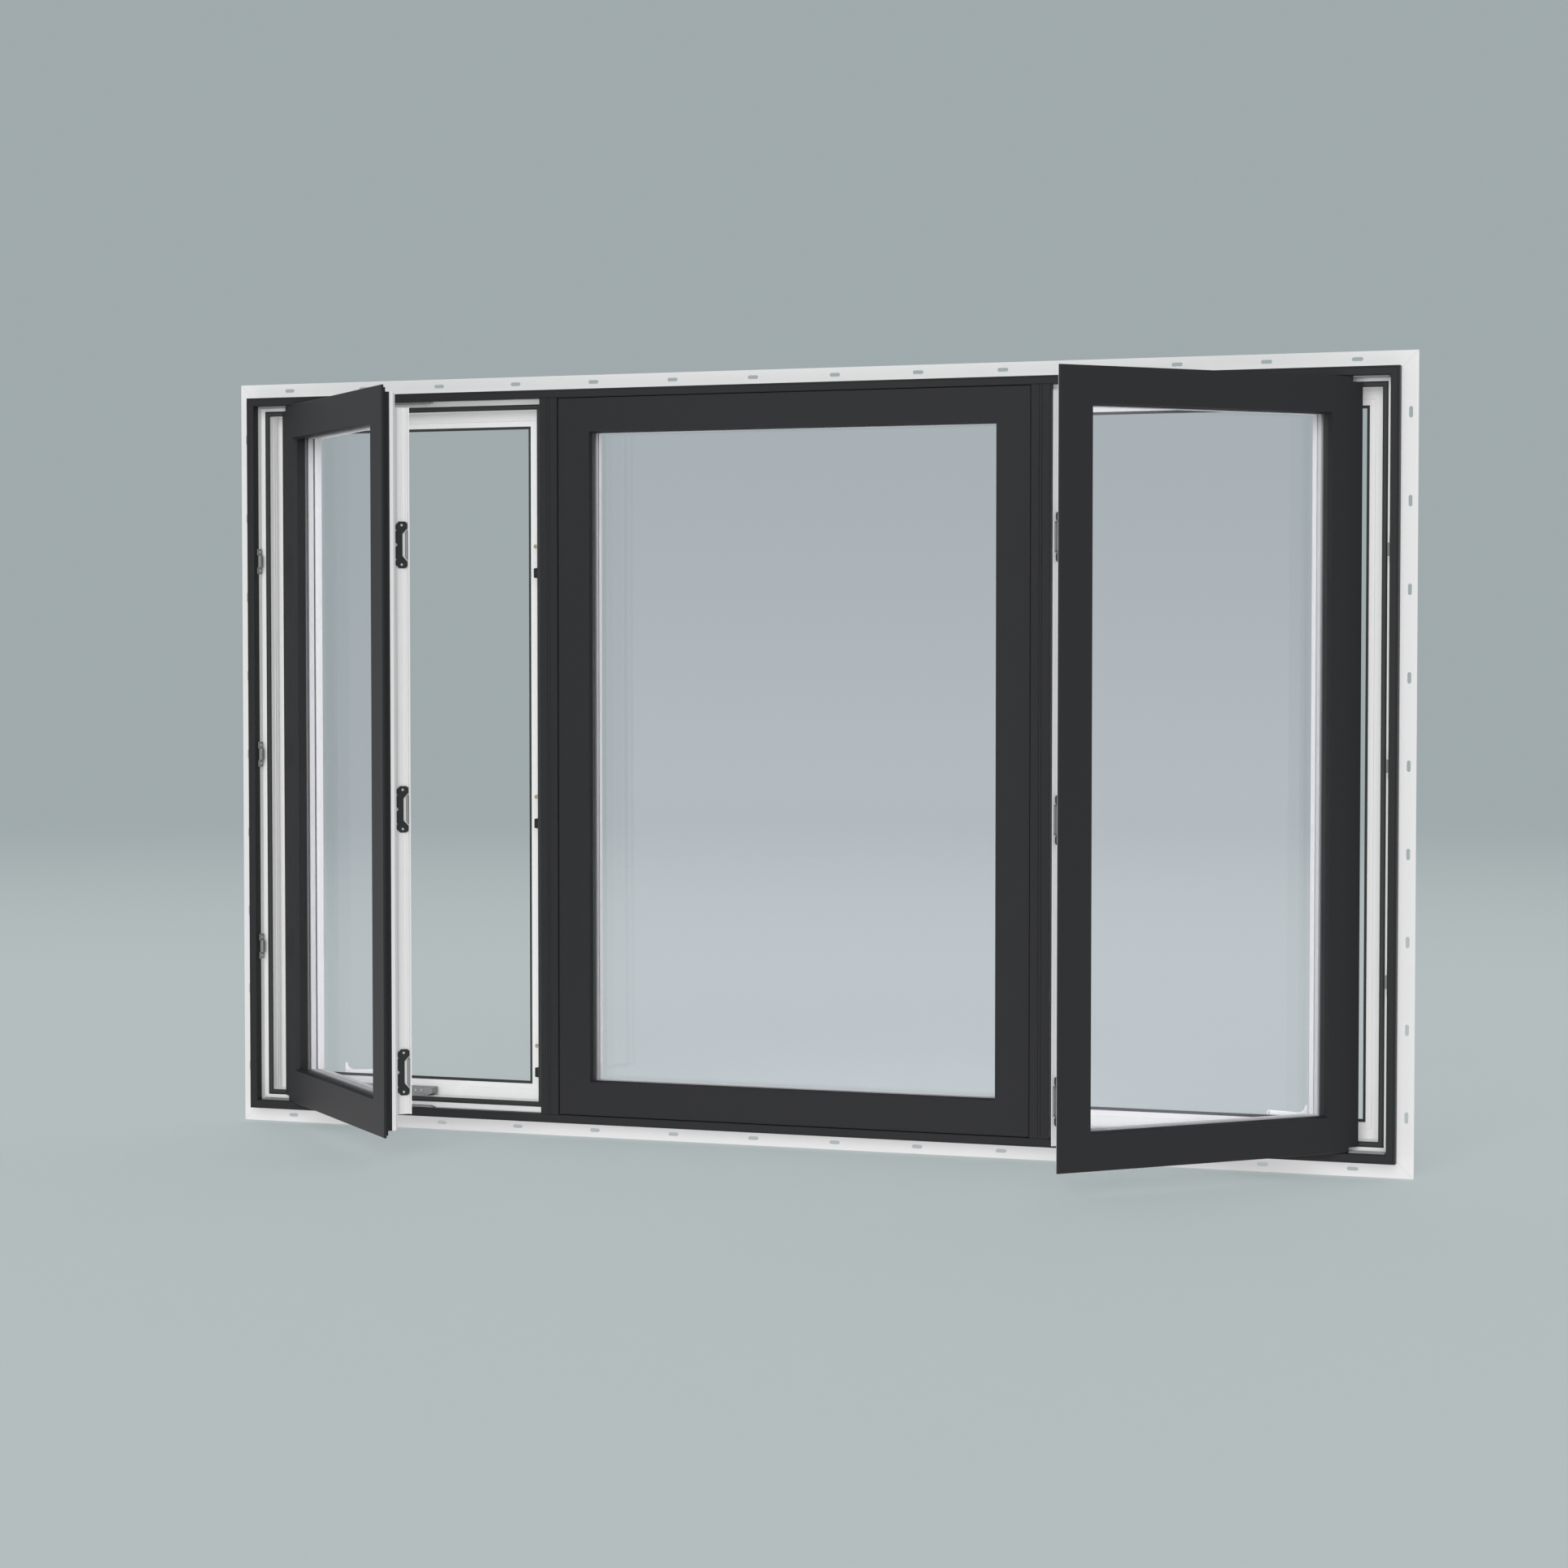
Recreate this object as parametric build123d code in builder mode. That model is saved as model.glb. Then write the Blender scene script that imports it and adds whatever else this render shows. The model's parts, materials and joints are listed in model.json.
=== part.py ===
"""Triple casement window: a frame, a fixed centre sash and two casements standing open at 45 degrees.

Millimetres. +X runs along the window, +Y from the outside towards the room, +Z up.
The origin lies on the back face of the sill's nailing fin, half way along it, on its line of slots.
"""
import os
from math import atan2, cos, degrees, radians, sin, sqrt

from build123d import *

os.makedirs("parts", exist_ok=True)

# Frame: outer size without the fins, and the depth of its section
FRAME_WIDTH = 2132.0
FRAME_HEIGHT = 1318.4
FRAME_DEPTH = 82.5
MULLION_CENTRE = 456.85
MULLION_FACE = 34.7
MULLION_GROOVE = 0.6

# Frame section: widths run inwards from the outer face, depths back from the exterior face
LEG_WIDTH = 15.0
LEG_STEP_WIDTH = 4.0
LEG_STEP_DEPTH = 1.6
FRAME_CAPPING_DEPTH = 18.0
CAPPING_CHAMFER = 1.0
LEDGE_DEPTH = 30.3
LEDGE_WIDTH = 8.4
SEAL_SEAT_DEPTH = 32.0
SEAL_WIDTH = 9.4
SEAL_HEIGHT = 5.0
SEAL_CROWN = 4.6
REVEAL_DEPTH = 63.4
LINER_WIDTH = 27.4
LINER_STEP_OFFSET = 17.0
LINER_STEP = 1.2
TRIM_WIDTH = 4.8
TRIM_DEPTH = 5.0
TRIM_SETBACK = 1.0

# Nailing fin and its slots
FIN_WIDTH = 26.5
FIN_THICKNESS = 1.6
FIN_SETBACK = 30.0
SLOT_LENGTH = 19.0
SLOT_WIDTH = 6.4
SLOT_EDGE = 12.7
SLOT_END = 101.6
HEAD_SLOTS = 14
JAMB_SLOTS = 9

# Sash section: widths run inwards from the sash's edge, depths back from its exterior face
SASH_GAP = 0.8
SASH_SETBACK = 2.0
SASH_DEPTH = 56.6
SASH_CAPPING_DEPTH = 18.0
LIP_DEPTH = 4.2
LIP_WIDTH = 4.0
SHOULDER_DEPTH = 8.6
FLANGE_RECESS = 11.0
FLANGE_DEPTH = 29.5
FLANGE_SLOPE_WIDTH = 4.5
FLANGE_SLOPE_DEPTH = 5.1
STILE_RECESS = 20.0
RAIL_RECESS = 36.5
CHANNEL_RIM = 2.2
CHANNEL_DEPTH = 6.6
CHANNEL_RIB = 0.8
CHANNEL_RIB_WIDTH = 1.4
CHANNEL_RIB_INSETS = (3.9, 11.0, 18.1)
BEVEL_START = 60.5
SIGHT_LINE = 63.5
BEVEL_DEPTH = 8.6
BACK_SLOPE = 3.0
GLAZING_POCKET = 50.0
BEAD_WIDTH = 11.8
BEAD_CHAMFER = 1.5
BEAD_GROOVE = 1.0

# Insulated glass and the seal in front of it
GLASS_SETBACK = 27.6
GLASS_UNIT = 15.6
PANE = 3.2
GLASS_CLEARANCE = 2.0
SPACER_WIDTH = 9.8
GLAZING_SEAL = 3.0
GLAZING_SEAL_WIDTH = 6.0

# Open casements: where the hinge edge of the exterior face stands, and the notches that clear the hinges
OPEN_ANGLE = 45.0
HINGE_EDGE_OFFSET = 48.7
HINGE_EDGE_SETBACK = 21.0
NOTCH_LENGTH = 20.0
NOTCH_HEIGHT = 9.0
FLANGE_NOTCH_LENGTH = 24.0

# Hinges: track on the frame, sash arm under the sash, stay arm between them
TRACK_LENGTH = 352.0
TRACK_WIDTH = 14.4
TRACK_THICKNESS = 3.0
TRACK_BASE = 1.4
TRACK_RAIL = 1.6
TRACK_RAIL_GAP = 6.0
TRACK_SETBACK = 10.4
TRACK_END_GAP = 4.0
ARM_WIDTH = 13.0
ARM_CORNER = 3.8
ARM_THICKNESS = 2.6
ARM_OVERRUN = 12.0
SHOE_INSET = 15.4
SHOE_RADIUS = 4.6
STAY_LENGTH = 100.7
STAY_ON_SASH = 100.0
STAY_LIFT = 1.6
RIVET_RADIUS = 3.0
PIN_SIDES = 12

# Lock keepers on the sashes, lock tongues on the mullions, snubbers on the jambs
KEEPER_LENGTH = 80.0
KEEPER_WAIST = 12.0
KEEPER_LOBE = 11.5
KEEPER_TAPER = 21.0
KEEPER_CORNER = 5.5
KEEPER_CHAMFER = 6.0
KEEPER_THICKNESS = 1.8
KEEPER_MARGIN = 3.7
KEEPER_CLEARANCE = 0.4
KEEPER_NOTCH = 3.2
KEEPER_EDGE_HOLE = 1.8
KEEPER_EDGE_HOLE_SPACING = 50.0
KEEPER_HOLE_SIDES = 10
KEEPER_FROM_TOP = 270.9
KEEPER_FROM_BOTTOM = 108.9
TONGUE_LENGTH = 20.0
TONGUE_WIDTH = 9.0
TONGUE_REACH = 12.0
TONGUE_TAPER = 8.0
TONGUE_DROP = 40.0
TONGUE_SETBACK = 44.0
SNUBBER_LENGTH = 46.0
SNUBBER_EAR = 12.0
SNUBBER_WIDTH = 16.0
SNUBBER_THICKNESS = 2.0
SNUBBER_BLOCK_WIDTH = 9.0
SNUBBER_BLOCK_HEIGHT = 6.0
SNUBBER_FROM_END = 285.4
SNUBBER_SETBACK = 19.0

# Crank operators on the sill
OPERATOR_LENGTH = 200.0
OPERATOR_DEPTH = 26.0
OPERATOR_HEIGHT = 15.0
OPERATOR_END_CUT = 4.5
OPERATOR_END_SLOPE = 12.0
OPERATOR_FLANGE = 2.5
OPERATOR_FLANGE_HEIGHT = 4.0
OPERATOR_FROM_HINGE = 241.8
OPERATOR_GAP = 1.4
CRANK_FROM_HINGE = 149.0
CRANK_CLEARANCE = 0.25
CRANK_LENGTH = 62.0
CRANK_THICKNESS = 6.0
CRANK_NECK = 5.2
CRANK_EYE_RADIUS = 3.7
CRANK_EYE_HOLE = 1.6
CRANK_POST_WIDTH = 3.4
CRANK_POST_HEIGHT = 18.0
CRANK_BASE_HEIGHT = 4.0
CRANK_BASE_SLOPE = 18.0

# Places that follow from the sizes above
EXTERIOR_Y = -(FIN_SETBACK + FIN_THICKNESS)
FRAME_BOTTOM = FIN_WIDTH - SLOT_EDGE
MID_Z = FRAME_BOTTOM + FRAME_HEIGHT / 2
STRIP_INNER = LEG_WIDTH + LEDGE_WIDTH
STOP_INNER = STRIP_INNER + SEAL_WIDTH
LINER_INNER = STOP_INNER + LINER_WIDTH
LINER_BACK = REVEAL_DEPTH + LINER_STEP
MULLION_SHIFT = MULLION_FACE / 2 - LEG_WIDTH
UNIT_INNER_X = MULLION_CENTRE + MULLION_SHIFT
UNIT_WIDTH = FRAME_WIDTH / 2 - UNIT_INNER_X
UNIT_CENTRE_X = UNIT_INNER_X + UNIT_WIDTH / 2
HINGE_LEG_X = FRAME_WIDTH / 2 - LEG_WIDTH
SASH_HEIGHT = FRAME_HEIGHT - 2 * (LEG_WIDTH + SASH_GAP)
CASEMENT_WIDTH = UNIT_WIDTH - 2 * (LEG_WIDTH + SASH_GAP)
FIXED_WIDTH = 2 * (MULLION_CENTRE - MULLION_FACE / 2 - SASH_GAP)
GLASS_BACK = GLASS_SETBACK + GLASS_UNIT
PANE_INSET = GLAZING_POCKET + GLASS_CLEARANCE
CAPPING_TOE = SIGHT_LINE - BACK_SLOPE
CAPPING_BACK = GLASS_SETBACK - GLAZING_SEAL
CHANNEL_BACK = SASH_DEPTH - CHANNEL_RIM
CHANNEL_FLOOR = STILE_RECESS + CHANNEL_DEPTH
KEEPER_SEAT = CHANNEL_FLOOR - CHANNEL_RIB
KEEPER_WIDTH = CHANNEL_BACK - FLANGE_DEPTH - KEEPER_MARGIN - KEEPER_CLEARANCE
KEEPER_SETBACK = FLANGE_DEPTH + KEEPER_MARGIN + KEEPER_WIDTH / 2
KEEPER_TOP = SASH_HEIGHT / 2 - KEEPER_FROM_TOP
KEEPER_BOTTOM = KEEPER_FROM_BOTTOM - SASH_HEIGHT / 2
KEEPER_HEIGHTS = (KEEPER_TOP, (KEEPER_TOP + KEEPER_BOTTOM) / 2, KEEPER_BOTTOM)
SNUBBER_TOP = SASH_HEIGHT / 2 - SNUBBER_FROM_END
TRACK_FLOOR = FRAME_BOTTOM + LEG_WIDTH
TRACK_GROOVE = TRACK_FLOOR + TRACK_BASE
TRACK_TOP = TRACK_FLOOR + TRACK_THICKNESS
TRACK_Y = EXTERIOR_Y + TRACK_SETBACK + TRACK_WIDTH / 2
HINGE_EDGE_Y = EXTERIOR_Y + HINGE_EDGE_SETBACK
SHOE_DROP = HINGE_EDGE_Y + SHOE_INSET * cos(radians(OPEN_ANGLE)) - TRACK_Y
SHOE_ALONG = SHOE_DROP / sin(radians(OPEN_ANGLE))
SASH_ARM_TOP = TRACK_FLOOR + SASH_GAP + FLANGE_RECESS
STAY_BOTTOM = TRACK_TOP + STAY_LIFT
OPERATOR_Y = EXTERIOR_Y + REVEAL_DEPTH - OPERATOR_GAP - OPERATOR_DEPTH
TRIM_FRONT = LINER_BACK + TRIM_SETBACK
TRIM_BACK = TRIM_FRONT + TRIM_DEPTH
CRANK_BASE_DEPTH = FRAME_DEPTH - TRIM_BACK - 2 * CRANK_CLEARANCE
CRANK_Y = EXTERIOR_Y + (TRIM_BACK + FRAME_DEPTH) / 2
CRANK_FLARE = CRANK_POST_HEIGHT - CRANK_NECK

HANDS = {"left": -1, "right": 1}
HORIZONTAL = ("head", "sill")


def export(part, name):
    part.label = name
    export_step(part, f"parts/{name}.step")


def face_plane(centre, turn=0.0):
    """Plane on an exterior face: local x along the face, local y up, normal to the outside."""
    along = Vector(1, 0, 0).rotate(Axis.Z, turn)
    return Plane(centre, x_dir=along, z_dir=along.cross(Vector(0, 0, 1)))


def side_plane(face, side, width, height):
    """Section plane half way along one side: local x inwards, local y towards the room."""
    inward = {
        "head": -face.y_dir,
        "sill": face.y_dir,
        "left": face.x_dir,
        "right": -face.x_dir,
    }[side]
    half = (height if side in HORIZONTAL else width) / 2
    return Plane(face.origin - inward * half, x_dir=inward, z_dir=inward.cross(-face.z_dir))


def mitred_bar(face, side, width, height, section):
    """One side of a rectangular frame, with its ends cut at 45 degrees."""
    plane = side_plane(face, side, width, height)
    half = (width if side in HORIZONTAL else height) / 2
    with BuildPart() as bar:
        with BuildSketch(plane):
            with BuildLine():
                Polyline(*section, close=True)
            make_face()
        extrude(amount=half, both=True)
        for end in (1, -1):
            corner = plane.origin + plane.z_dir * (end * half)
            outward = plane.x_dir + plane.z_dir * end
            split(bisect_by=Plane(corner, z_dir=outward), keep=Keep.BOTTOM)
    return bar.part


def mitred_ring(face, width, height, section):
    """All four sides of a rectangular frame in one piece."""
    with BuildPart() as ring:
        for side in ("head", "sill", "left", "right"):
            add(mitred_bar(face, side, width, height, section))
    return ring.part


def frame_capping_section():
    return [
        (0, LEG_STEP_DEPTH),
        (LEG_STEP_WIDTH - LEG_STEP_DEPTH, LEG_STEP_DEPTH),
        (LEG_STEP_WIDTH, 0),
        (LEG_WIDTH - CAPPING_CHAMFER, 0),
        (LEG_WIDTH, CAPPING_CHAMFER),
        (LEG_WIDTH, FRAME_CAPPING_DEPTH),
        (0, FRAME_CAPPING_DEPTH),
    ]


def frame_inner_steps():
    """Inner edge of the frame's section, from its capping to the face in the room."""
    return [
        (LEG_WIDTH, FRAME_CAPPING_DEPTH),
        (LEG_WIDTH, LEDGE_DEPTH),
        (STRIP_INNER, LEDGE_DEPTH),
        (STRIP_INNER, SEAL_SEAT_DEPTH),
        (STOP_INNER, SEAL_SEAT_DEPTH),
        (STOP_INNER, REVEAL_DEPTH),
        (STOP_INNER + LINER_STEP_OFFSET, REVEAL_DEPTH),
        (STOP_INNER + LINER_STEP_OFFSET + LINER_STEP, LINER_BACK),
        (LINER_INNER, LINER_BACK),
        (LINER_INNER, FRAME_DEPTH),
    ]


def frame_body_section():
    return [(0, FRAME_CAPPING_DEPTH)] + frame_inner_steps() + [(0, FRAME_DEPTH)]


def frame_whole_section():
    return [(0, 0), (LEG_WIDTH, 0)] + frame_inner_steps() + [(0, FRAME_DEPTH)]


def mullion_capping_section():
    half = MULLION_FACE / 2
    edge = [
        (MULLION_SHIFT - MULLION_GROOVE, 0),
        (MULLION_SHIFT, MULLION_GROOVE),
        (MULLION_SHIFT + MULLION_GROOVE, 0),
        (half - CAPPING_CHAMFER, 0),
        (half, CAPPING_CHAMFER),
        (half, FRAME_CAPPING_DEPTH),
    ]
    return edge + [(-u, v) for u, v in reversed(edge)]


def mullion_body_section():
    edge = [(u + MULLION_SHIFT, v) for u, v in frame_inner_steps()]
    return edge + [(-u, v) for u, v in reversed(edge)]


def seal_section():
    front = SEAL_SEAT_DEPTH - SEAL_HEIGHT
    slope = (SEAL_WIDTH - SEAL_CROWN) / 2
    return [
        (STRIP_INNER, SEAL_SEAT_DEPTH),
        (STOP_INNER, SEAL_SEAT_DEPTH),
        (STOP_INNER, front + slope),
        (STOP_INNER - slope, front),
        (STRIP_INNER + slope, front),
        (STRIP_INNER, front + slope),
    ]


def trim_section():
    return [
        (LINER_INNER, TRIM_FRONT),
        (LINER_INNER + TRIM_WIDTH, TRIM_FRONT),
        (LINER_INNER + TRIM_WIDTH, TRIM_BACK),
        (LINER_INNER, TRIM_BACK),
    ]


def sash_capping_section():
    """Dark capping, whose inner leg reaches back to the glazing seal."""
    return [
        (0, CAPPING_CHAMFER),
        (CAPPING_CHAMFER, 0),
        (BEVEL_START, 0),
        (SIGHT_LINE, BEVEL_DEPTH),
        (CAPPING_TOE, CAPPING_BACK),
        (GLAZING_POCKET, CAPPING_BACK),
        (GLAZING_POCKET, SASH_CAPPING_DEPTH),
        (FLANGE_RECESS, SASH_CAPPING_DEPTH),
        (FLANGE_RECESS, SHOULDER_DEPTH),
        (LIP_WIDTH, SHOULDER_DEPTH),
        (LIP_WIDTH, LIP_DEPTH),
        (0, LIP_DEPTH),
    ]


def bead_side():
    """Inner side of a sash bar, from its flange round the glazing pocket and over the bead."""
    bead = GLAZING_POCKET + BEAD_WIDTH
    return [
        (FLANGE_RECESS, SASH_CAPPING_DEPTH),
        (GLAZING_POCKET, SASH_CAPPING_DEPTH),
        (GLAZING_POCKET, GLASS_BACK),
        (bead, GLASS_BACK),
        (bead, SASH_DEPTH - BEAD_CHAMFER),
        (bead - BEAD_CHAMFER, SASH_DEPTH),
        (GLAZING_POCKET + BEAD_GROOVE, SASH_DEPTH),
        (GLAZING_POCKET, SASH_DEPTH - BEAD_GROOVE),
        (GLAZING_POCKET - BEAD_GROOVE, SASH_DEPTH),
    ]


def flange_back(edge):
    """Sloped back of a sash bar's flange, from the bar's own edge."""
    return [
        (edge, FLANGE_DEPTH),
        (FLANGE_RECESS + FLANGE_SLOPE_WIDTH, FLANGE_DEPTH),
        (FLANGE_RECESS, FLANGE_DEPTH - FLANGE_SLOPE_DEPTH),
    ]


def rail_section():
    """White bar whose edge stands far back, where the hinges and the operator need room."""
    return bead_side() + [(RAIL_RECESS, SASH_DEPTH)] + flange_back(RAIL_RECESS)


def stile_section():
    """White bar with the ribbed channel for the hardware in its edge."""
    channel = [(STILE_RECESS, SASH_DEPTH), (STILE_RECESS, CHANNEL_BACK), (CHANNEL_FLOOR, CHANNEL_BACK)]
    for inset in CHANNEL_RIB_INSETS:
        near = CHANNEL_BACK - inset + CHANNEL_RIB_WIDTH / 2
        far = near - CHANNEL_RIB_WIDTH
        channel += [(CHANNEL_FLOOR, near), (KEEPER_SEAT, near), (KEEPER_SEAT, far), (CHANNEL_FLOOR, far)]
    return bead_side() + channel + flange_back(CHANNEL_FLOOR)


def glazing_seal_section():
    return [
        (CAPPING_TOE - GLAZING_SEAL_WIDTH, CAPPING_BACK),
        (CAPPING_TOE, CAPPING_BACK),
        (CAPPING_TOE, GLASS_SETBACK),
        (CAPPING_TOE - GLAZING_SEAL_WIDTH, GLASS_SETBACK),
    ]


def spacer_section():
    return [
        (PANE_INSET, GLASS_SETBACK + PANE),
        (PANE_INSET + SPACER_WIDTH, GLASS_SETBACK + PANE),
        (PANE_INSET + SPACER_WIDTH, GLASS_BACK - PANE),
        (PANE_INSET, GLASS_BACK - PANE),
    ]


frame_face = face_plane((0, EXTERIOR_Y, MID_Z))
fixed_face = face_plane((0, EXTERIOR_Y + SASH_SETBACK, MID_Z))


def casement_face(hand):
    """Exterior face of an open casement, turned about its hinge edge."""
    turn = hand * OPEN_ANGLE
    along = Vector(1, 0, 0).rotate(Axis.Z, turn)
    hinge_edge = Vector(hand * (HINGE_LEG_X - HINGE_EDGE_OFFSET), HINGE_EDGE_Y, MID_Z)
    return face_plane(hinge_edge - along * (hand * CASEMENT_WIDTH / 2), turn)


# Frame members with their dark exterior capping
FRAME_NAMES = {"head": "head", "sill": "sill", "left": "left_jamb", "right": "right_jamb"}
for side, name in FRAME_NAMES.items():
    body = mitred_bar(frame_face, side, FRAME_WIDTH, FRAME_HEIGHT, frame_body_section())
    export(body, name)
    capping = mitred_bar(frame_face, side, FRAME_WIDTH, FRAME_HEIGHT, frame_capping_section())
    export(capping, f"{name}_capping")


def mullion(hand, section):
    """Upright between two openings, its ends coped to the head and the sill."""
    with BuildPart() as bar:
        with BuildSketch(Plane((hand * MULLION_CENTRE, EXTERIOR_Y, MID_Z))):
            with BuildLine():
                Polyline(*section, close=True)
            make_face()
        extrude(amount=FRAME_HEIGHT / 2, both=True)
        for side in HORIZONTAL:
            with BuildSketch(side_plane(frame_face, side, FRAME_WIDTH, FRAME_HEIGHT)):
                with BuildLine():
                    Polyline(*frame_whole_section(), close=True)
                make_face()
            extrude(amount=FRAME_WIDTH / 2, both=True, mode=Mode.SUBTRACT)
    return bar.part


for hand_name, hand in HANDS.items():
    export(mullion(hand, mullion_body_section()), f"{hand_name}_mullion")
    export(mullion(hand, mullion_capping_section()), f"{hand_name}_mullion_capping")


# Nailing fins, mitred at the corners and slotted
def nailing_fin(side):
    width = FRAME_WIDTH + 2 * FIN_WIDTH
    height = FRAME_HEIGHT + 2 * FIN_WIDTH
    section = [
        (0, FIN_SETBACK),
        (FIN_WIDTH, FIN_SETBACK),
        (FIN_WIDTH, FIN_SETBACK + FIN_THICKNESS),
        (0, FIN_SETBACK + FIN_THICKNESS),
    ]
    plane = side_plane(frame_face, side, width, height)
    length, count = (width, HEAD_SLOTS) if side in HORIZONTAL else (height, JAMB_SLOTS)
    pitch = (length - 2 * SLOT_END) / (count - 1)
    slot_plane = Plane(plane.origin, x_dir=plane.z_dir, z_dir=-plane.y_dir)
    with BuildPart() as fin:
        add(mitred_bar(frame_face, side, width, height, section))
        with BuildSketch(slot_plane):
            with Locations((0, SLOT_EDGE * (slot_plane.y_dir.dot(plane.x_dir)))):
                with GridLocations(pitch, 1, count, 1):
                    SlotOverall(SLOT_LENGTH, SLOT_WIDTH)
        extrude(amount=-FRAME_DEPTH, mode=Mode.SUBTRACT)
    return fin.part


for side in FRAME_NAMES:
    export(nailing_fin(side), f"{side}_fin")


# Sashes: white bars, dark exterior capping, two panes with a spacer
def cut_hinge_notches(face, hand):
    """Cut the lip and the flange back at the hinge end, where the hinges pass."""
    for length, height, near, far in (
        (NOTCH_LENGTH, NOTCH_HEIGHT, 0, SHOULDER_DEPTH),
        (FLANGE_NOTCH_LENGTH, STILE_RECESS, SHOULDER_DEPTH, FLANGE_DEPTH),
    ):
        x = hand * (CASEMENT_WIDTH - length) / 2
        y = (SASH_HEIGHT - height) / 2
        with BuildSketch(face.offset(-near)) as notch:
            with Locations((x, y), (x, -y)):
                Rectangle(length, height)
        extrude(notch.sketch, amount=near - far, mode=Mode.SUBTRACT)


def cut_stile_ends(face, width):
    """Cut a stile's edge behind the flange level with the edges of the rails."""
    with BuildSketch(face.offset(-FLANGE_DEPTH)) as ends:
        with GridLocations(width, SASH_HEIGHT - RAIL_RECESS, 1, 2):
            Rectangle(width, RAIL_RECESS)
    extrude(ends.sketch, amount=FLANGE_DEPTH - SASH_DEPTH, mode=Mode.SUBTRACT)


def panes(face, width):
    with BuildPart() as glass:
        for depth in (GLASS_SETBACK, GLASS_BACK - PANE):
            with BuildSketch(face.offset(-depth)):
                Rectangle(width - 2 * PANE_INSET, SASH_HEIGHT - 2 * PANE_INSET)
            extrude(amount=-PANE)
    return glass.part


SASH_SIDES = {
    "left": {"left": "hinge_stile", "right": "lock_stile", "head": "top_rail", "sill": "bottom_rail"},
    "right": {"right": "hinge_stile", "left": "lock_stile", "head": "top_rail", "sill": "bottom_rail"},
    "fixed": {"left": "left_stile", "right": "right_stile", "head": "top_rail", "sill": "bottom_rail"},
}
SASH_FACES = {"fixed": (fixed_face, FIXED_WIDTH)}
for hand_name, hand in HANDS.items():
    SASH_FACES[hand_name] = (casement_face(hand), CASEMENT_WIDTH)

for sash_name, (face, width) in SASH_FACES.items():
    for side, bar_name in SASH_SIDES[sash_name].items():
        with BuildPart() as sash_bar:
            section = rail_section() if side in HORIZONTAL else stile_section()
            add(mitred_bar(face, side, width, SASH_HEIGHT, section))
            if side not in HORIZONTAL:
                cut_stile_ends(face, width)
            if sash_name in HANDS and bar_name != "lock_stile":
                cut_hinge_notches(face, HANDS[sash_name])
        export(sash_bar.part, f"{sash_name}_sash_{bar_name}")
    with BuildPart() as sash_capping:
        add(mitred_ring(face, width, SASH_HEIGHT, sash_capping_section()))
        if sash_name in HANDS:
            cut_hinge_notches(face, HANDS[sash_name])
    export(sash_capping.part, f"{sash_name}_sash_capping")
    export(panes(face, width), f"{sash_name}_glass")

for name, section in (("glass_spacers", spacer_section()), ("glazing_seals", glazing_seal_section())):
    with BuildPart() as rings:
        for face, width in SASH_FACES.values():
            add(mitred_ring(face, width, SASH_HEIGHT, section))
    export(rings.part, name)

# Bulb seals on the frame's stops and slim dark trim inside the openings
for name, section in (("weatherstrips", seal_section()), ("opening_trims", trim_section())):
    with BuildPart() as loops:
        for hand in HANDS.values():
            unit_face = face_plane((hand * UNIT_CENTRE_X, EXTERIOR_Y, MID_Z))
            add(mitred_ring(unit_face, UNIT_WIDTH, FRAME_HEIGHT, section))
    export(loops.part, name)

# Hinge tracks on the sill and the head: a base with two rails, which the shoe runs between
with BuildPart() as hinge_tracks:
    for hand in HANDS.values():
        hinge_end = hand * (HINGE_LEG_X - TRACK_END_GAP)
        with BuildSketch(Plane.XY.offset(TRACK_FLOOR)):
            with Locations((hinge_end - hand * TRACK_LENGTH / 2, TRACK_Y)):
                Rectangle(TRACK_LENGTH, TRACK_WIDTH)
        extrude(amount=TRACK_BASE)
        rail_length = TRACK_LENGTH - TRACK_RAIL_GAP
        with BuildSketch(Plane.XY.offset(TRACK_FLOOR)):
            with Locations((hinge_end - hand * rail_length / 2, TRACK_Y)):
                with GridLocations(rail_length, TRACK_WIDTH - TRACK_RAIL, 1, 2):
                    Rectangle(rail_length, TRACK_RAIL)
        extrude(amount=TRACK_THICKNESS)
    mirror(about=Plane.XY.offset(MID_Z))
export(hinge_tracks.part, "hinge_tracks")


def flat_arm(start, end, bottom):
    """Flat steel bar with cut corners between two pivots."""
    line = end - start
    middle = (start + end) / 2
    with BuildSketch(Plane.XY.offset(bottom)) as outline:
        with Locations((middle.X, middle.Y)):
            Rectangle(line.length + ARM_WIDTH, ARM_WIDTH, rotation=degrees(atan2(line.Y, line.X)))
        chamfer(outline.vertices(), length=ARM_CORNER)
    extrude(outline.sketch, amount=ARM_THICKNESS)


def pin(place, radius, bottom, top):
    with BuildSketch(Plane.XY.offset(bottom)) as outline:
        with Locations((place.X, place.Y)):
            RegularPolygon(radius, PIN_SIDES)
    extrude(outline.sketch, amount=top - bottom)


def sash_point(face, hand, along, inset):
    """Point in plan, measured from the hinge edge along the sash and from its exterior face."""
    point = face.origin + face.x_dir * (hand * (CASEMENT_WIDTH / 2 - along)) - face.z_dir * inset
    return Vector(point.X, point.Y, 0)


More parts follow.
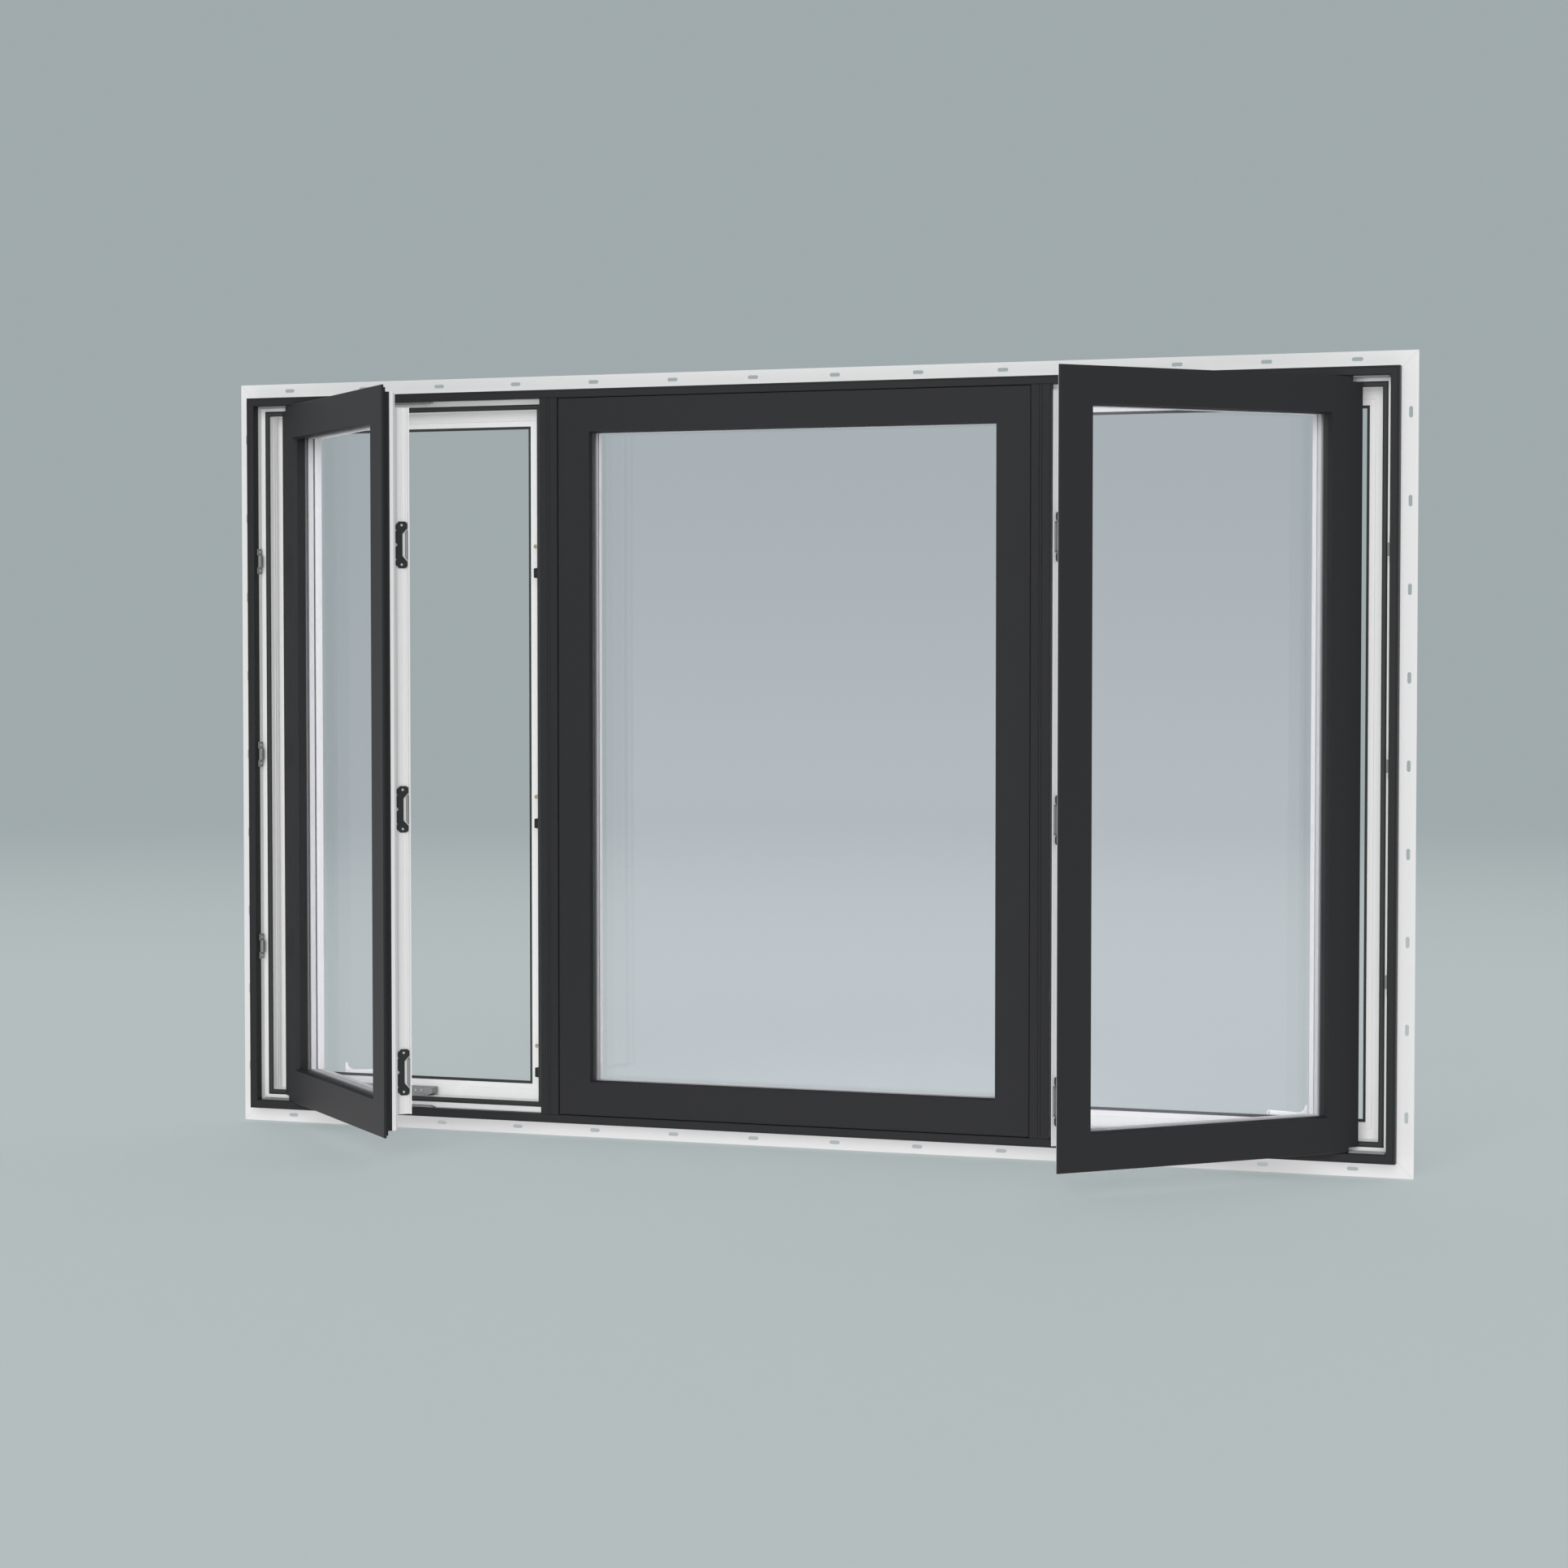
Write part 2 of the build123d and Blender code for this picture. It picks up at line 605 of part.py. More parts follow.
with BuildPart() as hinge_arms:
    for hand in HANDS.values():
        face = casement_face(hand)
        shoe = sash_point(face, hand, SHOE_ALONG, SHOE_INSET)
        joint = sash_point(face, hand, SHOE_ALONG + STAY_ON_SASH, SHOE_INSET)
        arm_end = sash_point(face, hand, SHOE_ALONG + STAY_ON_SASH + ARM_OVERRUN, SHOE_INSET)
        reach = TRACK_Y - joint.Y
        pivot = Vector(joint.X - hand * sqrt(STAY_LENGTH**2 - reach**2), TRACK_Y, 0)
        flat_arm(shoe, arm_end, SASH_ARM_TOP - ARM_THICKNESS)
        flat_arm(pivot, joint, STAY_BOTTOM)
        pin(shoe, SHOE_RADIUS, TRACK_GROOVE, SASH_ARM_TOP)
        pin(pivot, RIVET_RADIUS, TRACK_GROOVE, STAY_BOTTOM + ARM_THICKNESS)
        pin(joint, RIVET_RADIUS, STAY_BOTTOM, SASH_ARM_TOP)
    mirror(about=Plane.XY.offset(MID_Z))
export(hinge_arms.part, "hinge_arms")


# Lock keepers: waisted plates in the channel of each lock stile
def keeper_outline():
    """Plate with cut corners outside, round ones inside, a long waist and holes along its outer edge."""
    outer = -KEEPER_WIDTH / 2
    inner = KEEPER_WIDTH / 2
    end = KEEPER_LENGTH / 2
    waist = outer + KEEPER_WAIST
    with BuildLine() as outline:
        Polyline(
            (outer, 0),
            (outer, end - KEEPER_CHAMFER),
            (outer + KEEPER_CHAMFER, end),
            (inner - KEEPER_CORNER, end),
        )
        RadiusArc((inner - KEEPER_CORNER, end), (inner, end - KEEPER_CORNER), KEEPER_CORNER)
        Polyline(
            (inner, end - KEEPER_CORNER),
            (inner, end - KEEPER_LOBE),
            (waist, end - KEEPER_TAPER),
            (waist, 0),
        )
        mirror(about=Plane.XZ)
    make_face(outline.edges())
    with Locations((outer, 0)):
        RegularPolygon(KEEPER_NOTCH, KEEPER_HOLE_SIDES, mode=Mode.SUBTRACT)
    with Locations((outer, 0)):
        with GridLocations(KEEPER_EDGE_HOLE, KEEPER_EDGE_HOLE_SPACING, 1, 2):
            RegularPolygon(KEEPER_EDGE_HOLE, KEEPER_HOLE_SIDES, mode=Mode.SUBTRACT)


with BuildPart() as keepers:
    for hand in HANDS.values():
        face = casement_face(hand)
        for height in KEEPER_HEIGHTS:
            seat = face.origin - face.x_dir * (hand * (CASEMENT_WIDTH / 2 - KEEPER_SEAT))
            seat += Vector(0, 0, height) - face.z_dir * KEEPER_SETBACK
            with BuildSketch(Plane(seat, x_dir=-face.z_dir, z_dir=face.x_dir * -hand)):
                keeper_outline()
            extrude(amount=KEEPER_THICKNESS)
export(keepers.part, "keepers")

# Lock tongues on the mullions and snubbers on the jambs
with BuildPart() as lock_tongues:
    for hand in HANDS.values():
        for height in KEEPER_HEIGHTS:
            seat = (
                hand * (UNIT_INNER_X + STOP_INNER),
                EXTERIOR_Y + TONGUE_SETBACK,
                MID_Z + height - TONGUE_DROP,
            )
            with BuildSketch(Plane(seat, x_dir=(0, 1, 0), z_dir=(hand, 0, 0))):
                Rectangle(TONGUE_WIDTH, TONGUE_LENGTH)
            extrude(amount=TONGUE_REACH, taper=TONGUE_TAPER)
export(lock_tongues.part, "lock_tongues")

with BuildPart() as snubbers:
    for hand in HANDS.values():
        for height in (SNUBBER_TOP, 0, -SNUBBER_TOP):
            seat = (hand * HINGE_LEG_X, EXTERIOR_Y + SNUBBER_SETBACK, MID_Z + height)
            plane = Plane(seat, x_dir=(0, 1, 0), z_dir=(-hand, 0, 0))
            with BuildSketch(plane):
                with GridLocations(SNUBBER_WIDTH, SNUBBER_LENGTH - SNUBBER_EAR, 1, 2):
                    Rectangle(SNUBBER_WIDTH, SNUBBER_EAR)
            extrude(amount=SNUBBER_THICKNESS)
            with BuildSketch(plane):
                Rectangle(SNUBBER_BLOCK_WIDTH, SNUBBER_LENGTH - 2 * SNUBBER_EAR)
            extrude(amount=SNUBBER_BLOCK_HEIGHT)
export(snubbers.part, "snubbers")


# Crank operators on the sill's stop, with their folding handles in the room
def sill_plane(hand, from_hinge, y, height):
    """Upright plane on the sill: local x towards the lock side, local y up."""
    place = (hand * (HINGE_LEG_X - from_hinge), y, FRAME_BOTTOM + height)
    return Plane(place, x_dir=(-hand, 0, 0), z_dir=(0, hand, 0))


with BuildPart() as operators:
    half_length = OPERATOR_LENGTH / 2
    for hand in HANDS.values():
        plane = sill_plane(hand, OPERATOR_FROM_HINGE, OPERATOR_Y, STOP_INNER)
        with BuildSketch(plane):
            with BuildLine():
                Polyline(
                    (-half_length, 0),
                    (half_length - OPERATOR_END_SLOPE, 0),
                    (half_length, OPERATOR_END_CUT),
                    (half_length, OPERATOR_HEIGHT),
                    (-half_length, OPERATOR_HEIGHT),
                    close=True,
                )
            make_face()
        extrude(amount=hand * OPERATOR_DEPTH)
        with BuildSketch(plane):
            with Locations((-half_length, 0)):
                Rectangle(
                    OPERATOR_LENGTH - OPERATOR_END_SLOPE,
                    OPERATOR_FLANGE_HEIGHT,
                    align=(Align.MIN, Align.MIN),
                )
        extrude(amount=-hand * OPERATOR_FLANGE)
export(operators.part, "operators")

with BuildPart() as crank_handles:
    for hand in HANDS.values():
        plane = sill_plane(hand, CRANK_FROM_HINGE, CRANK_Y, LINER_INNER)
        with BuildSketch(plane):
            with BuildLine():
                Polyline(
                    (-CRANK_POST_WIDTH - CRANK_BASE_SLOPE, 0),
                    (-CRANK_POST_WIDTH, CRANK_BASE_HEIGHT),
                    (CRANK_FLARE, CRANK_BASE_HEIGHT),
                    (CRANK_FLARE + CRANK_BASE_SLOPE, 0),
                    close=True,
                )
            make_face()
        extrude(amount=CRANK_BASE_DEPTH / 2, both=True)
        with BuildSketch(plane):
            with BuildLine():
                Polyline(
                    (CRANK_FLARE, CRANK_NECK),
                    (CRANK_LENGTH, 2 * CRANK_EYE_RADIUS),
                    (CRANK_LENGTH, 0),
                    (-CRANK_POST_WIDTH, 0),
                    (-CRANK_POST_WIDTH, CRANK_POST_HEIGHT),
                    (0, CRANK_POST_HEIGHT),
                )
                RadiusArc((0, CRANK_POST_HEIGHT), (CRANK_FLARE, CRANK_NECK), -CRANK_FLARE)
            make_face()
            with Locations((CRANK_LENGTH, CRANK_EYE_RADIUS)):
                Circle(CRANK_EYE_RADIUS)
                Circle(CRANK_EYE_HOLE, mode=Mode.SUBTRACT)
        extrude(amount=CRANK_THICKNESS / 2, both=True)
export(crank_handles.part, "crank_handles")
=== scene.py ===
"""Looks of the triple casement window: eased edges, small fittings, finishes, camera, floor and light.

Metres. +X runs along the window, +Y from the outside towards the room, +Z up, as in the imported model.
"""

import json
from math import cos, radians, sin

import bpy
from mathutils import Matrix, Vector


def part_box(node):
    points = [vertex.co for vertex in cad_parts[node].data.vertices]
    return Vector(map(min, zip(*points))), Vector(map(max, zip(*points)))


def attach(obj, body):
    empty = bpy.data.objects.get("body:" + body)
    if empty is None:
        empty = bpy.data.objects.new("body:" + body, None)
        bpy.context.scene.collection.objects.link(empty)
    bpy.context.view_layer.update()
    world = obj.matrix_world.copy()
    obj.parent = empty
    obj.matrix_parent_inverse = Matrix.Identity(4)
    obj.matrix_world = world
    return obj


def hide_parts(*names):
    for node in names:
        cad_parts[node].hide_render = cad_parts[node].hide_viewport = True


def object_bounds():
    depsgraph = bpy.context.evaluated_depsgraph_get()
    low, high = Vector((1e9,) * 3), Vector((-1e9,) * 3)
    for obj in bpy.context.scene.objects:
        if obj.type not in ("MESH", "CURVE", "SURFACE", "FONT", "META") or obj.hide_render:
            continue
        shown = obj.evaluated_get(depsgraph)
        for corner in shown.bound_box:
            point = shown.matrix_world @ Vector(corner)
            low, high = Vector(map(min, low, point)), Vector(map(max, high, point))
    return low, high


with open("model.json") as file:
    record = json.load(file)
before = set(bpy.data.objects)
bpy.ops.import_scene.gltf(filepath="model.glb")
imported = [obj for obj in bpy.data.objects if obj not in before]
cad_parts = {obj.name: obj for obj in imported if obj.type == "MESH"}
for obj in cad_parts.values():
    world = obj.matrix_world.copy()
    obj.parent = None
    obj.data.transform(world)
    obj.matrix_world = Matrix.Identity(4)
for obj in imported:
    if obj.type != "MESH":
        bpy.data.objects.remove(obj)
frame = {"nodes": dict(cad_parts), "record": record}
cad_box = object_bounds()

# Directions
ALONG = Vector((1, 0, 0))
ROOMWARD = Vector((0, 1, 0))
UP = Vector((0, 0, 1))

# Camera, fitted to the fin's corners and slots in the photograph
CAMERA_PLACE = (2.0217, -5.6513, 0.8510)
CAMERA_YAW = radians(19.852)
CAMERA_LEVEL = radians(90)
CAMERA_TILT = radians(-2.108)
CAMERA_LENS_MM = 78.285
SENSOR_MM = 36.0

# Studio
BACKDROP = (0.352, 0.404, 0.416)
SKY_GLOW = (0.455, 0.468, 0.475)
GROUND_GLOW = (0.89, 0.882, 0.90)
GLOW_BLEND = 0.08
KEY_TURN = (radians(73), 0.0, radians(8))
KEY_SPREAD = radians(50)
KEY_STRENGTH = 1.75
FLOOR_COLOUR = (0.38, 0.415, 0.415)
FLOOR_GLOW = (0.215, 0.245, 0.250)
FLOOR_ROUGHNESS = 0.9
FLOOR_SPECULAR = 0.1
FLOOR_RADIUS = 14.0
FLOOR_SIDES = 96
FLOOR_FADE_START = 2.6
FLOOR_FADE_END = 13.0

# Colours of the finishes
FRAME_VINYL = (0.80, 0.80, 0.795)
# Painted shade: the sash bars are the same white vinyl as the frame, given a darker colour here
SASH_VINYL_PAINTED_SHADE = (0.70, 0.70, 0.697)
# Painted shade: the fin is the same white vinyl as the frame, given a darker colour here
FIN_VINYL_PAINTED_SHADE = (0.675, 0.675, 0.673)
CRANK_ENAMEL = (0.88, 0.88, 0.875)
BRASS = (0.66, 0.58, 0.42)
SCREW_ZINC = (0.55, 0.56, 0.56)
DARK_CAPPING = (0.0232, 0.0237, 0.0250)
SEAL_RUBBER = (0.030, 0.034, 0.032)
GLAZING_SEAL = (0.12, 0.125, 0.125)
HINGE_STEEL = (0.24, 0.245, 0.24)
LOCK_BLACK = (0.016, 0.020, 0.019)
HARDWARE_GREY = (0.225, 0.235, 0.232)
SPACER_PLASTIC = (0.52, 0.52, 0.535)
GLASS_TINT = (0.975, 0.975, 0.98)
GLASS_SHINE = (0.044, 0.042, 0.045)
GLASS_INDEX = 1.45

# Grain of the finishes
GRAIN_DETAIL = 5.0
GRAIN_MEAN = 0.5
RELIEF_DEPTH = 0.0002
VINYL_GRAIN = {"shade": 0.03, "cell": 40.0, "spread": 0.08, "bump": 0.03}
RUBBER_GRAIN = {"shade": 0.2, "cell": 300.0, "spread": 0.1}
BRUSHED_ALONG = (0.04, 1, 1)
WELD_WIDTH = 0.0009
WELD_SHADE = 0.22

# Small fittings that the solids leave out
OPEN_ANGLE = radians(45)
SCREW_SIDES = 20
SCREW_HEIGHT = 0.0012
SCREW_DOME_SEGMENTS = 3
RECESS_SPAN = 1.1
RECESS_WIDTH = 0.0007
RECESS_DEPTH = 0.0006
KEEPER_SCREW_RADIUS = 0.0021
KEEPER_SCREW_INSET = 0.00625
SNUBBER_SCREW_RADIUS = 0.0034
SNUBBER_EAR = 0.012
SNUBBER_EAR_THICKNESS = 0.002
OPERATOR_SCREW_RADIUS = 0.0019
OPERATOR_SCREW_PLACES = (0.021, 0.033)
OPERATOR_SCREW_DROP = 0.005
TRACK_SCREW_RADIUS = 0.0025
TRACK_SCREW_INSET = 0.010
TRACK_BASE = 0.0014
RAMP_WIDTH = 0.0037
RAMP_LENGTH = 0.050
RAMP_HEIGHT = 0.0046
RAMP_INSET = 0.0004
RAMP_TAPER = 0.8
RAMP_EASE = 0.0005
PIN_RISE = 0.048
PIN_RADIUS = 0.0022
PIN_HEAD_RADIUS = 0.0036
PIN_HEAD_LENGTH = 0.004
PIN_DOME = 0.0016
PIN_DOME_SEGMENTS = 4
PIN_SIDES = 24
RIB_PLACES = (0.0142, 0.0218)
RIB_WIDTH = 0.0024
RIB_HEIGHT = 0.0011
RIB_EASE = 0.0006
FACING = 0.9

# Cranks: height of the base that stays, and lift of the post and arm above it
CRANK_BASE = 0.0045
CRANK_LIFT = 0.005

# Eased edges, one radius for each finish that has them
EASED_EDGES = {
    "seal_rubber": 0.0009,
    "hinge_steel": 0.0003,
    "lock_black": 0.0004,
    "hardware_grey": 0.0005,
    "crank_white": 0.0006,
}
EASE_SEGMENTS = 2
EASE_ANGLE = radians(28)
SMOOTH_ANGLE = radians(24)
MERGE_DISTANCE = 0.00001
FLAT_ANGLE = radians(0.4)


def add_math(nodes, operation, kind="ShaderNodeMath"):
    """New node that works out one sum."""
    node = nodes.new(kind)
    node.operation = operation
    return node


def add_ramp(nodes, start, end, low=0.0):
    """New node that rises smoothly from low at the start to 1 at the end."""
    ramp = nodes.new("ShaderNodeMapRange")
    ramp.interpolation_type = "SMOOTHSTEP"
    ramp.inputs["From Min"].default_value = start
    ramp.inputs["From Max"].default_value = end
    ramp.inputs["To Min"].default_value = low
    return ramp


def grain_group():
    """Shared effect: colour, roughness and height that vary gently over a surface."""
    group = bpy.data.node_groups.new("surface_grain", "ShaderNodeTree")
    for name, kind in (
        ("Colour", "NodeSocketColor"),
        ("Shade", "NodeSocketFloat"),
        ("Cell", "NodeSocketFloat"),
        ("Stretch", "NodeSocketVector"),
        ("Roughness", "NodeSocketFloat"),
        ("Spread", "NodeSocketFloat"),
    ):
        group.interface.new_socket(name, in_out="INPUT", socket_type=kind)
    for name, kind in (
        ("Colour", "NodeSocketColor"),
        ("Roughness", "NodeSocketFloat"),
        ("Height", "NodeSocketFloat"),
    ):
        group.interface.new_socket(name, in_out="OUTPUT", socket_type=kind)
    nodes, links = group.nodes, group.links
    inputs = nodes.new("NodeGroupInput")
    outputs = nodes.new("NodeGroupOutput")
    place = nodes.new("ShaderNodeTexCoord")
    drawn = add_math(nodes, "MULTIPLY", "ShaderNodeVectorMath")
    noise = nodes.new("ShaderNodeTexNoise")
    noise.inputs["Detail"].default_value = GRAIN_DETAIL
    links.new(place.outputs["Object"], drawn.inputs[0])
    links.new(inputs.outputs["Stretch"], drawn.inputs[1])
    links.new(drawn.outputs[0], noise.inputs["Vector"])
    links.new(inputs.outputs["Cell"], noise.inputs["Scale"])

    centred = add_math(nodes, "SUBTRACT")
    centred.inputs[1].default_value = GRAIN_MEAN
    links.new(noise.outputs["Fac"], centred.inputs[0])

    shade = add_math(nodes, "MULTIPLY_ADD")
    shade.inputs[2].default_value = 1.0
    links.new(centred.outputs[0], shade.inputs[0])
    links.new(inputs.outputs["Shade"], shade.inputs[1])
    tinted = add_math(nodes, "SCALE", "ShaderNodeVectorMath")
    links.new(inputs.outputs["Colour"], tinted.inputs[0])
    links.new(shade.outputs[0], tinted.inputs["Scale"])
    links.new(tinted.outputs[0], outputs.inputs["Colour"])

    rough = add_math(nodes, "MULTIPLY_ADD")
    links.new(centred.outputs[0], rough.inputs[0])
    links.new(inputs.outputs["Spread"], rough.inputs[1])
    links.new(inputs.outputs["Roughness"], rough.inputs[2])
    links.new(rough.outputs[0], outputs.inputs["Roughness"])
    links.new(noise.outputs["Fac"], outputs.inputs["Height"])
    return group


GRAIN = grain_group()


def finish(
    name, colour, shade, cell, roughness, spread, bump=0.0, metallic=0.0, specular=0.5, stretch=(1, 1, 1)
):
    """Opaque finish with the shared grain."""
    material = bpy.data.materials.new(name)
    material.use_nodes = True
    nodes, links = material.node_tree.nodes, material.node_tree.links
    shader = nodes["Principled BSDF"]
    shader.inputs["Metallic"].default_value = metallic
    shader.inputs["Specular IOR Level"].default_value = specular
    grain = nodes.new("ShaderNodeGroup")
    grain.node_tree = GRAIN
    grain.inputs["Colour"].default_value = (*colour, 1.0)
    grain.inputs["Shade"].default_value = shade
    grain.inputs["Cell"].default_value = cell
    grain.inputs["Stretch"].default_value = stretch
    grain.inputs["Roughness"].default_value = roughness
    grain.inputs["Spread"].default_value = spread
    links.new(grain.outputs["Colour"], shader.inputs["Base Color"])
    links.new(grain.outputs["Roughness"], shader.inputs["Roughness"])
    if bump:
        relief = nodes.new("ShaderNodeBump")
        relief.inputs["Strength"].default_value = bump
        relief.inputs["Distance"].default_value = RELIEF_DEPTH
        links.new(grain.outputs["Height"], relief.inputs["Height"])
        links.new(relief.outputs["Normal"], shader.inputs["Normal"])
    return material


def clear_glass():
    """Float glass that shows what stands behind it without bending it."""
    material = bpy.data.materials.new("clear_glass")
    material.use_nodes = True
    nodes, links = material.node_tree.nodes, material.node_tree.links
    shader = nodes["Principled BSDF"]
    shader.inputs["Base Color"].default_value = (*GLASS_TINT, 1.0)
    shader.inputs["Roughness"].default_value = 0.0
    shader.inputs["IOR"].default_value = GLASS_INDEX
    shader.inputs["Transmission Weight"].default_value = 1.0
    passing = nodes.new("ShaderNodeBsdfTransparent")
    passing.inputs["Color"].default_value = (*GLASS_TINT, 1.0)
    shine = nodes.new("ShaderNodeBsdfGlossy")
    shine.inputs["Color"].default_value = (*GLASS_SHINE, 1.0)
    shine.inputs["Roughness"].default_value = 0.0
    pane = nodes.new("ShaderNodeAddShader")
    rays = nodes.new("ShaderNodeLightPath")
    straight = add_math(nodes, "MAXIMUM")
    mix = nodes.new("ShaderNodeMixShader")
    links.new(passing.outputs["BSDF"], pane.inputs[0])
    links.new(shine.outputs["BSDF"], pane.inputs[1])
    links.new(rays.outputs["Is Camera Ray"], straight.inputs[0])
    links.new(rays.outputs["Is Shadow Ray"], straight.inputs[1])
    links.new(straight.outputs[0], mix.inputs["Fac"])
    links.new(shader.outputs["BSDF"], mix.inputs[1])
    links.new(pane.outputs["Shader"], mix.inputs[2])
    links.new(mix.outputs["Shader"], nodes["Material Output"].inputs["Surface"])
    return material


def add_fin_welds(material):
    """Darken the mitre welds of the fin, where the way to its side equals the way to its top or bottom."""
    nodes, links = material.node_tree.nodes, material.node_tree.links
    low, high = (Vector(corner) for corner in cad_box)
    place = nodes.new("ShaderNodeTexCoord")
    centred = add_math(nodes, "SUBTRACT", "ShaderNodeVectorMath")
    centred.inputs[1].default_value = (low + high) / 2
    mirrored = add_math(nodes, "ABSOLUTE", "ShaderNodeVectorMath")
    split = nodes.new("ShaderNodeSeparateXYZ")
    lean = add_math(nodes, "SUBTRACT")
    away = add_math(nodes, "SUBTRACT")
    away.inputs[1].default_value = (high.x - low.x - high.z + low.z) / 2
    gap = add_math(nodes, "ABSOLUTE")
    weld = add_ramp(nodes, 0.0, WELD_WIDTH, low=1.0 - WELD_SHADE)
    shaded = add_math(nodes, "SCALE", "ShaderNodeVectorMath")
    base = nodes["Principled BSDF"].inputs["Base Color"]
    grain_colour = base.links[0].from_socket
    links.new(place.outputs["Object"], centred.inputs[0])
    links.new(centred.outputs[0], mirrored.inputs[0])
    links.new(mirrored.outputs[0], split.inputs[0])
    links.new(split.outputs["X"], lean.inputs[0])
    links.new(split.outputs["Z"], lean.inputs[1])
    links.new(lean.outputs[0], away.inputs[0])
    links.new(away.outputs[0], gap.inputs[0])
    links.new(gap.outputs[0], weld.inputs["Value"])
    links.new(grain_colour, shaded.inputs[0])
    links.new(weld.outputs["Result"], shaded.inputs["Scale"])
    links.new(shaded.outputs[0], base)
    return material


FINISHES = {
    "white_vinyl": finish("frame_vinyl", FRAME_VINYL, roughness=0.42, **VINYL_GRAIN),
    # The fin's vinyl is a darker copy of the white vinyl: painted shade
    "fin": add_fin_welds(finish("fin_vinyl_painted_shade", FIN_VINYL_PAINTED_SHADE, roughness=0.5, **VINYL_GRAIN)),
    "dark_capping": finish(
        "dark_capping", DARK_CAPPING, shade=0.3, cell=700.0, roughness=0.44, spread=0.08, bump=0.06,
        specular=0.1,
    ),
    "glass": clear_glass(),
    "spacer": finish("spacer_plastic", SPACER_PLASTIC, shade=0.05, cell=200.0, roughness=0.5, spread=0.1),
    "seal_rubber": finish("seal_rubber", SEAL_RUBBER, roughness=0.6, specular=0.3, **RUBBER_GRAIN),
    "glazing_seal": finish("glazing_seal", GLAZING_SEAL, roughness=0.6, **RUBBER_GRAIN),
    "dark_trim": finish("dark_trim", SEAL_RUBBER, roughness=0.5, specular=0.3, **RUBBER_GRAIN),
    "hinge_steel": finish(
        "hinge_steel", HINGE_STEEL, shade=0.15, cell=400.0, roughness=0.45, spread=0.15, metallic=0.4,
        stretch=BRUSHED_ALONG,
    ),
    "lock_black": finish(
        "lock_black", LOCK_BLACK, shade=0.2, cell=500.0, roughness=0.4, spread=0.1, specular=0.3
    ),
    "hardware_grey": finish(
        "hardware_grey", HARDWARE_GREY, shade=0.1, cell=300.0, roughness=0.45, spread=0.1, bump=0.05
    ),
    "crank_white": finish("crank_enamel", CRANK_ENAMEL, shade=0.02, cell=60.0, roughness=0.3, spread=0.05),
}
# Darker copy of the white vinyl for the sash bars: painted shade
SASH_PAINTED_SHADE_FINISH = finish("sash_vinyl_painted_shade", SASH_VINYL_PAINTED_SHADE, roughness=0.42, **VINYL_GRAIN)
BRASS_FINISH = finish("brass", BRASS, shade=0.1, cell=500.0, roughness=0.3, spread=0.1, metallic=1.0)
SCREW_FINISH = finish(
    "screw_zinc", SCREW_ZINC, shade=0.1, cell=600.0, roughness=0.35, spread=0.1, metallic=0.6
)


def dress_nodes():
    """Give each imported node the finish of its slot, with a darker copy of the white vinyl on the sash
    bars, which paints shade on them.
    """
    for row in frame["record"]["subparts"]:
        slot = row["material_slot"]
        sash_bar = slot == "white_vinyl" and "sash" in row["node"]
        node = frame["nodes"][row["node"]]
        node.data.materials.clear()
        node.data.materials.append(SASH_PAINTED_SHADE_FINISH if sash_bar else FINISHES[slot])


def pick_only(piece):
    """Make one object the only selected and active one."""
    bpy.ops.object.select_all(action="DESELECT")
    piece.select_set(True)
    bpy.context.view_layer.objects.active = piece


def merged_copy(node, name):
    """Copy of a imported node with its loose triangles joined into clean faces."""
    piece = bpy.data.objects.new(name, frame["nodes"][node].data.copy())
    bpy.context.scene.collection.objects.link(piece)
    pick_only(piece)
    bpy.ops.object.mode_set(mode="EDIT")
    bpy.ops.mesh.select_all(action="SELECT")
    bpy.ops.mesh.remove_doubles(threshold=MERGE_DISTANCE)
    bpy.ops.mesh.dissolve_limited(angle_limit=FLAT_ANGLE)
    bpy.ops.object.mode_set(mode="OBJECT")
    return piece


def ease_edges():
    """Round the sharp edges of the hardware and seals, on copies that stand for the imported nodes."""
    for row in frame["record"]["subparts"]:
        slot = row["material_slot"]
        if slot not in EASED_EDGES:
            continue
        piece = merged_copy(row["node"], f"{row['node']}_eased")
        ease = piece.modifiers.new("ease", "BEVEL")
        ease.width = EASED_EDGES[slot]
        ease.segments = EASE_SEGMENTS
        ease.limit_method = "ANGLE"
        ease.angle_limit = EASE_ANGLE
        bpy.ops.object.modifier_apply(modifier=ease.name)
        bpy.ops.object.shade_smooth_by_angle(angle=SMOOTH_ANGLE)
        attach(piece, "root")
        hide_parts(row["node"])


def raise_cranks():
    """Draw the cranks' posts out, so that their arms stand a little above the sill."""
    cranks = bpy.data.objects["crank_handles_eased"]
    pick_only(cranks)
    base_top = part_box("crank_handles")[0][2] + CRANK_BASE
    bpy.ops.object.mode_set(mode="EDIT")
    bpy.context.tool_settings.mesh_select_mode = (True, False, False)
    bpy.ops.mesh.select_all(action="DESELECT")
    bpy.ops.object.mode_set(mode="OBJECT")
    for vertex in cranks.data.vertices:
        vertex.select = vertex.co.z > base_top
    bpy.ops.object.mode_set(mode="EDIT")
    bpy.ops.transform.translate(value=(0, 0, CRANK_LIFT))
    bpy.ops.object.mode_set(mode="OBJECT")


def loose_solids(node):
    """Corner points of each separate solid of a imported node, read from a scratch copy."""
    merged_copy(node, f"{node}_scratch")
    bpy.ops.object.mode_set(mode="EDIT")
    bpy.ops.mesh.select_all(action="SELECT")
    bpy.ops.mesh.separate(type="LOOSE")
    bpy.ops.object.mode_set(mode="OBJECT")
    solids = []
    for piece in list(bpy.context.selected_objects):
        solids.append([vertex.co.copy() for vertex in piece.data.vertices])
        bpy.data.objects.remove(piece)
    return solids


def reach(points, direction):
    """Lowest and highest place of some points along a direction."""
    along = [point.dot(direction) for point in points]
    return min(along), max(along)


